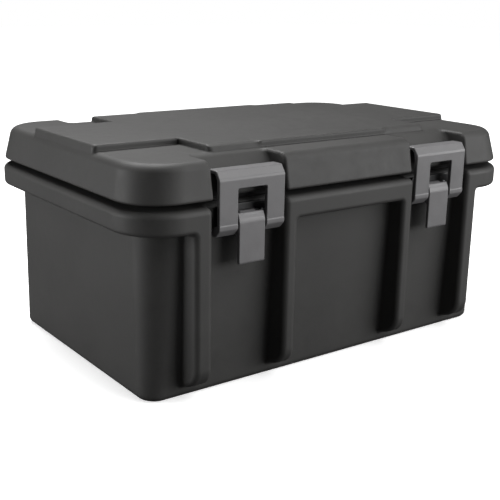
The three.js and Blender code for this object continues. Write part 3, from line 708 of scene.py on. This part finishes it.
def surface_material(
    name, dark, light, worn, rough, grain, bump, wear, metallic=0.0, specular=0.5, peel=0.0
):
    """A plain material with broad and fine variation, a grain in relief, and paler, smoother edges."""
    material = bpy.data.materials.new(name)
    material.use_nodes = True
    tree = material.node_tree
    shader = tree.nodes["Principled BSDF"]
    shader.inputs["Metallic"].default_value = metallic
    shader.inputs["Specular IOR Level"].default_value = specular
    place = node(tree, "ShaderNodeTexCoord").outputs["Object"]
    broad = noise(tree, place, *BROAD_NOISE)
    cloud = noise(tree, place, *CLOUD_NOISE)
    fleck = noise(tree, place, grain * FLECK["of_grain"], FLECK["detail"])
    edge = node(tree, "ShaderNodeAttribute", attribute_name="edge").outputs["Fac"]
    mottle = plus(tree, times(tree, broad, MOTTLE["broad"]), times(tree, cloud, MOTTLE["cloud"]))
    share = remap(tree, mottle, *NOISE_SPAN, 0, 1)
    share = plus(tree, share, remap(tree, fleck, *NOISE_SPAN, -FLECK["swing"], FLECK["swing"]))
    patchy = remap(tree, noise(tree, place, *PATCH_NOISE), *PATCH_SPAN, LEAST_WEAR, 1)
    rubbed = times(tree, times(tree, remap(tree, edge, *EDGE_SPAN, 0, 1), patchy), wear)
    colour = tinted(tree, share, dark, light)
    tree.links.new(tinted(tree, rubbed, colour, worn), shader.inputs["Base Color"])
    matt = remap(tree, cloud, *NOISE_SPAN, rough - ROUGHNESS_SWING, rough + ROUGHNESS_SWING)
    matt = plus(tree, matt, times(tree, rubbed, WEAR_POLISH))
    tree.links.new(matt, shader.inputs["Roughness"])
    pebbles = noise(tree, place, grain, **PEBBLES)
    depth = RELIEF_DEPTH["grain"] / grain
    relief = node(tree, "ShaderNodeBump", {"Height": pebbles, "Strength": bump, "Distance": depth})
    if peel:
        wave = noise(tree, place, *PEEL_NOISE)
        inputs = {"Height": wave, "Strength": peel, "Distance": RELIEF_DEPTH["peel"]}
        under = node(tree, "ShaderNodeBump", inputs)
        tree.links.new(under.outputs["Normal"], relief.inputs["Normal"])
    tree.links.new(relief.outputs["Normal"], shader.inputs["Normal"])
    return material


MATERIALS = {
    "moulded_shell": surface_material(
        "moulded_polyethylene", (0.0323, 0.0318, 0.0308), (0.0437, 0.043, 0.0417), (0.088, 0.086, 0.0835),
        rough=0.6, grain=850, bump=0.22, wear=0.2, specular=0.4, peel=0.12,
    ),
    "latch_nylon": surface_material(
        "latch_nylon", (0.121, 0.119, 0.122), (0.155, 0.152, 0.156), (0.24, 0.236, 0.238),
        rough=0.42, grain=1500, bump=0.12, wear=0.45,
    ),
    "black_plastic": surface_material(
        "black_nylon", (0.014, 0.014, 0.0145), (0.021, 0.021, 0.022), (0.05, 0.05, 0.05),
        rough=0.45, grain=1500, bump=0.14, wear=0.35,
    ),
    "seal": surface_material(
        "seal_rubber", (0.009, 0.009, 0.009), (0.016, 0.016, 0.016), (0.03, 0.03, 0.03),
        rough=0.72, grain=1900, bump=0.2, wear=0.3,
    ),
    "steel": surface_material(
        "satin_steel", (0.42, 0.43, 0.44), (0.55, 0.56, 0.57), (0.7, 0.71, 0.72),
        rough=0.34, grain=2600, bump=0.15, wear=0.4, metallic=1.0,
    ),
    "foam": surface_material(
        "poured_foam", (0.5, 0.39, 0.18), (0.64, 0.52, 0.27), (0.72, 0.62, 0.4),
        rough=0.9, grain=700, bump=0.5, wear=0.3, specular=0.2,
    ),
}


# ---- pieces ----
def add_piece(name, mesh, body, slot, *nodes):
    mesh.materials.clear()
    mesh.materials.append(MATERIALS[slot])
    piece = bpy.data.objects.new(name, mesh)
    bpy.context.scene.collection.objects.link(piece)
    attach(piece, body)
    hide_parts(*nodes)


def shifted(mesh, name, place, turn=Matrix.Identity(4)):
    copy = mesh.copy()
    copy.name = name
    copy.transform(Matrix.Translation(Vector(place) * MM) @ turn)
    return copy


def pin_mesh(cad_node):
    """A turned pin along x with chamfered ends, where its CAD node is."""
    low, high = box_mm(cad_node)
    radius = (high[2] - low[2]) / 2
    half = (high[0] - low[0]) / 2
    chamfer, crown = PIN["chamfer"], PIN["crown"]
    profile = [
        (radius - 2 * chamfer, -half),
        (radius - chamfer, -half + crown),
        (radius, -half + chamfer),
        (radius, half - chamfer),
        (radius - chamfer, half - crown),
        (radius - 2 * chamfer, half),
    ]
    mesh = turned_mesh(cad_node, profile, 40, Matrix.Rotation(math.pi / 2, 3, "Y"))
    centre = [(a + b) / 2 for a, b in zip(low, high)]
    mesh.transform(Matrix.Translation(Vector(centre) * MM))
    return mesh


def plug_mesh(name, cad_node):
    """The moulded plug of a fill hole, face down, with a raised ring and a dished middle."""
    low, high = box_mm(cad_node)
    radius = (high[0] - low[0]) / 2
    bottom, top = low[2], high[2]
    stem = radius - (FILL_HOLE["flange"] - FILL_HOLE["radius"])
    profile = [(across, bottom + height) for across, height in FOAM_PLUG_DISH]
    profile += [(radius + across, bottom + height) for across, height in FOAM_PLUG_RING]
    shoulder = bottom + FILL_HOLE["flange_depth"] - FOAM_PLUG["edge"]
    chamfer = FOAM_PLUG["chamfer"]
    profile += [(radius, shoulder), (stem, shoulder)]
    profile += [(stem, top - chamfer), (stem - chamfer, top), (FOAM_PLUG_DISH[0][0], top)]
    return turned_mesh(name, profile, 80)


def make_shells():
    span_x = mirrored(22, 1.6, 84, 12, 96, 2.5, 124, 1.7, 214, 9, 222, 3, 262, 1.7, 286, 3, 336, 2)
    span_y = mirrored(22, 1.6, 112, 12, 150, 3, 170, 2.5, 206, 2.2, 232, 1.6)
    span_z = ruler(-3, 10, 1.4, 56, 2.4, 74, 6, 90, 2, 206, 9, 216, 3, 232, 1.5, 242, 2.2, 258, 1.4)
    tub_mesh = moulded_mesh("tub_moulding", tub, (span_x, span_y, span_z))
    add_piece("tub_moulding", tub_mesh, "tub", "moulded_shell", "body_shell")
    span_x = mirrored(
        22, 1.6, 100, 12, 118, 1.8, 184, 9, 204, 1.6, 220, 2.4, 234, 1.6, 256, 6, 280, 2.5, 336, 2
    )
    span_y = mirrored(22, 1.6, 78, 14, 84, 3, 98, 1.6, 120, 6, 150, 3, 172, 1.5, 180, 2, 230, 1.4)
    span_z = ruler(246, 256, 1.3, 271, 1.5, 277, 3, 300, 1.5, 322, 1.1)
    lid_mesh = moulded_mesh("lid_moulding", lid, (span_x, span_y, span_z))
    add_piece("lid_moulding", lid_mesh, "lid", "moulded_shell", "lid_shell")


def make_seal_and_plugs():
    add_piece("lid_seal", gasket_mesh("lid_seal"), "lid", "seal", "lid_gasket")
    for body, cad_node in (("tub", "body_fill_plug"), ("lid", "lid_fill_plug")):
        name = f"{body}_foam_plug"
        add_piece(name, plug_mesh(name, cad_node), body, "black_plastic", cad_node)


def make_latches():
    loop_lines = (
        mirrored(18, 4, 24, FINE, 46, 4, 51, FINE),
        ruler(-229, -193, FINE),
        ruler(211, 233, FINE, 266, 4, 300, FINE),
    )
    loop_mesh = moulded_mesh("latch_loop", latch_loop, loop_lines, reach=1.5)
    lever_lines = (
        mirrored(10, 3, 14, FINE, 17, 1, 22, FINE),
        ruler(-229, -205, FINE),
        ruler(171, 177, FINE, 208, 4, 242, FINE),
    )
    lever_mesh = moulded_mesh("latch_lever", latch_lever, lever_lines, reach=1.5)
    bracket_lines = (
        mirrored(10, 3, 20, FINE, 31, 2, 40, FINE),
        ruler(-222, -201, FINE),
        ruler(215, 252, 0.7),
    )
    bracket_mesh = moulded_mesh("latch_bracket", latch_bracket, bracket_lines, reach=1.5)
    for side, x in SIDES.items():
        pieces = (
            ("loop_catch", loop_mesh, f"{side}_loop", "latch_nylon", "latch_loop"),
            ("pull_lever", lever_mesh, f"{side}_lever", "latch_nylon", "latch_lever"),
            ("latch_base", bracket_mesh, "tub", "black_plastic", "latch_bracket"),
        )
        for label, mesh, body, slot, cad_node in pieces:
            name = f"{side}_{label}"
            add_piece(name, shifted(mesh, name, (x, 0, 0)), body, slot, f"{side}_{cad_node}")
        for label, body in (("latch_lever_pin", "tub"), ("latch_link_pin", f"{side}_link")):
            cad_node = f"{side}_{label}"
            add_piece(f"{cad_node}_turned", pin_mesh(cad_node), body, "steel", cad_node)


def make_hinges():
    body_lines = (
        mirrored(8, FINE, 12, FINE, 26, 3, 30, FINE),
        ruler(200, 229, FINE),
        ruler(204, 266, 0.8),
    )
    lid_lines = (
        mirrored(8, 2, 11, FINE, 26, 3, 30, FINE),
        ruler(206, 229, FINE),
        ruler(250, 288, 0.8),
    )
    body_mesh = moulded_mesh("hinge_body_leaf", hinge_body_leaf, body_lines, reach=1.5)
    lid_mesh = moulded_mesh("hinge_lid_leaf", hinge_lid_leaf, lid_lines, reach=1.5)
    for side, x in SIDES.items():
        leaves = (("hinge_body_leaf", body_mesh, "tub"), ("hinge_lid_leaf", lid_mesh, "lid"))
        for label, mesh, body in leaves:
            name = f"{side}_{label}"
            piece = f"{name}_moulded"
            add_piece(piece, shifted(mesh, piece, (x, 0, 0)), body, "black_plastic", name)
        cad_node = f"{side}_hinge_pin"
        add_piece(f"{cad_node}_turned", pin_mesh(cad_node), "tub", "steel", cad_node)


def make_screws():
    across = mirrored(5, 0.22)
    lines = (across, across, ruler(-14, -1, 1.2, 0, 0.3, 3, 0.2))
    mesh = moulded_mesh("pan_head_screw", screw, lines, reach=0.5)
    rows = (("bracket_screw", "tub"), ("hinge_body_screw", "tub"), ("hinge_lid_screw", "lid"))
    for side in SIDES:
        for label, body in rows:
            for number in (1, 2):
                cad_node = f"{side}_{label}_{number}"
                low, high = box_mm(cad_node)
                back = label != "bracket_screw"
                quarter = -math.pi / 2 if back else math.pi / 2
                turn = Matrix.Rotation(quarter, 4, "X") @ Matrix.Rotation(SLOT_TURN * number, 4, "Z")
                face = high[1] - SCREW["height"] if back else low[1] + SCREW["height"]
                place = ((low[0] + high[0]) / 2, face, (low[2] + high[2]) / 2)
                name = f"{cad_node}_turned"
                add_piece(name, shifted(mesh, name, place, turn), body, "steel", cad_node)


def make_foam():
    """Both fillings, hidden between the skins, so their grid is a coarse one."""
    for body, field, bottom, top, cad_node in (
        ("tub", tub_foam, -3, 262, "body_foam"),
        ("lid", lid_foam, 242, 325, "lid_foam"),
    ):
        name = f"{body}_foam_filling"
        lines = (mirrored(336, 4.5), mirrored(232, 4.5), ruler(bottom, top, 4))
        add_piece(name, moulded_mesh(name, field, lines), body, "foam", cad_node)


# ---- camera, floor and light ----
CENTRE = Vector((-0.09885, -0.12632, 0.15791))  # what the camera points at
LIGHT_TARGET = Vector((0, 0, 0.15))
CAMERA = {"azimuth": -36.506, "elevation": 15.808, "roll": 0.957, "distance": 1.25496, "lens": 64.579}
FLOOR_REACH = 12
FLOOR_BOUNCE = (0.14, 0.14, 0.14)
FLOOR_GLOW = {"near": 0.6, "far": 1.0, "from": 0.6, "to": 2.0}  # by distance from the object, in metres
WORLD_LIGHT = 0.008
# Azimuth, elevation, distance, size and power of each light.
SOFTBOXES = {
    "overhead": (180, 67, 2.2, (1.2, 1.2), 64),
    "left_high": (-100, 45, 2.2, (0.9, 0.9), 4),
    "left_low": (-111, 5, 2.2, (0.9, 0.9), 31),
    "front_right_high": (36, 45, 4.0, (3.3, 1.6), 72),
    "front_right_low": (40, 12, 4.0, (4.0, 1.6), 122),
}


def aim(azimuth, elevation, roll=0.0):
    """A rotation that looks from an azimuth and elevation back at the object."""
    a, e, r = (math.radians(value) for value in (azimuth, elevation, roll))
    right = Vector((math.cos(a), math.sin(a), 0))
    back = Vector((math.sin(a) * math.cos(e), -math.cos(a) * math.cos(e), math.sin(e)))
    up = back.cross(right)
    turned = right * math.cos(r) + up * math.sin(r)
    lifted = up * math.cos(r) - right * math.sin(r)
    return Matrix((turned, lifted, back)).transposed(), back


def make_camera():
    data = bpy.data.cameras.new("camera")
    data.lens = CAMERA["lens"]
    data.sensor_width = 36
    camera = bpy.data.objects.new("camera", data)
    turn, back = aim(CAMERA["azimuth"], CAMERA["elevation"], CAMERA["roll"])
    camera.matrix_world = Matrix.Translation(CENTRE + back * CAMERA["distance"]) @ turn.to_4x4()
    bpy.context.scene.collection.objects.link(camera)
    bpy.context.scene.camera = camera


def camera_share(tree):
    return node(tree, "ShaderNodeLightPath").outputs["Is Camera Ray"]


def make_floor():
    """A white floor that throws only a little light back up."""
    material = bpy.data.materials.new("pale_floor")
    material.use_nodes = True
    tree = material.node_tree
    shader = tree.nodes["Principled BSDF"]
    place = node(tree, "ShaderNodeTexCoord").outputs["Object"]
    pale = tinted(tree, noise(tree, place, 3, 3), (0.88, 0.88, 0.88), (0.92, 0.92, 0.92))
    tree.links.new(tinted(tree, camera_share(tree), FLOOR_BOUNCE, pale), shader.inputs["Base Color"])
    shader.inputs["Roughness"].default_value = 0.95
    shader.inputs["Specular IOR Level"].default_value = 0.0
    shader.inputs["Emission Color"].default_value = (1, 1, 1, 1)
    away = node(tree, "ShaderNodeVectorMath", {0: place}, operation="LENGTH").outputs["Value"]
    glow = remap(tree, away, FLOOR_GLOW["from"], FLOOR_GLOW["to"], FLOOR_GLOW["near"], FLOOR_GLOW["far"])
    tree.links.new(times(tree, camera_share(tree), glow), shader.inputs["Emission Strength"])
    mesh = bpy.data.meshes.new("floor")
    reach = FLOOR_REACH
    corners = [(-reach, -reach, 0), (reach, -reach, 0), (reach, reach, 0), (-reach, reach, 0)]
    mesh.from_pydata(corners, [], [(0, 1, 2, 3)])
    mesh.materials.append(material)
    floor = bpy.data.objects.new("floor", mesh)
    bpy.context.scene.collection.objects.link(floor)


def add_softbox(name, azimuth, elevation, distance, size, power):
    data = bpy.data.lights.new(name, "AREA")
    data.shape = "RECTANGLE"
    data.size, data.size_y = size
    data.energy = power
    light = bpy.data.objects.new(name, data)
    turn, back = aim(azimuth, elevation)
    light.matrix_world = Matrix.Translation(LIGHT_TARGET + back * distance) @ turn.to_4x4()
    bpy.context.scene.collection.objects.link(light)


def make_world():
    """A white backdrop that lights the object only a little."""
    world = bpy.data.worlds.new("studio")
    world.use_nodes = True
    tree = world.node_tree
    background = tree.nodes["Background"]
    dim = (WORLD_LIGHT, WORLD_LIGHT, WORLD_LIGHT)
    tree.links.new(tinted(tree, camera_share(tree), dim, (1.0, 1.0, 1.0)), background.inputs["Color"])
    bpy.context.scene.world = world


def make_lights():
    for name, place in SOFTBOXES.items():
        add_softbox(name, *place)
    bpy.context.scene.view_settings.view_transform = "Standard"


make_camera()
make_shells()
make_seal_and_plugs()
make_latches()
make_hinges()
make_screws()
make_foam()
make_floor()
make_world()
make_lights()
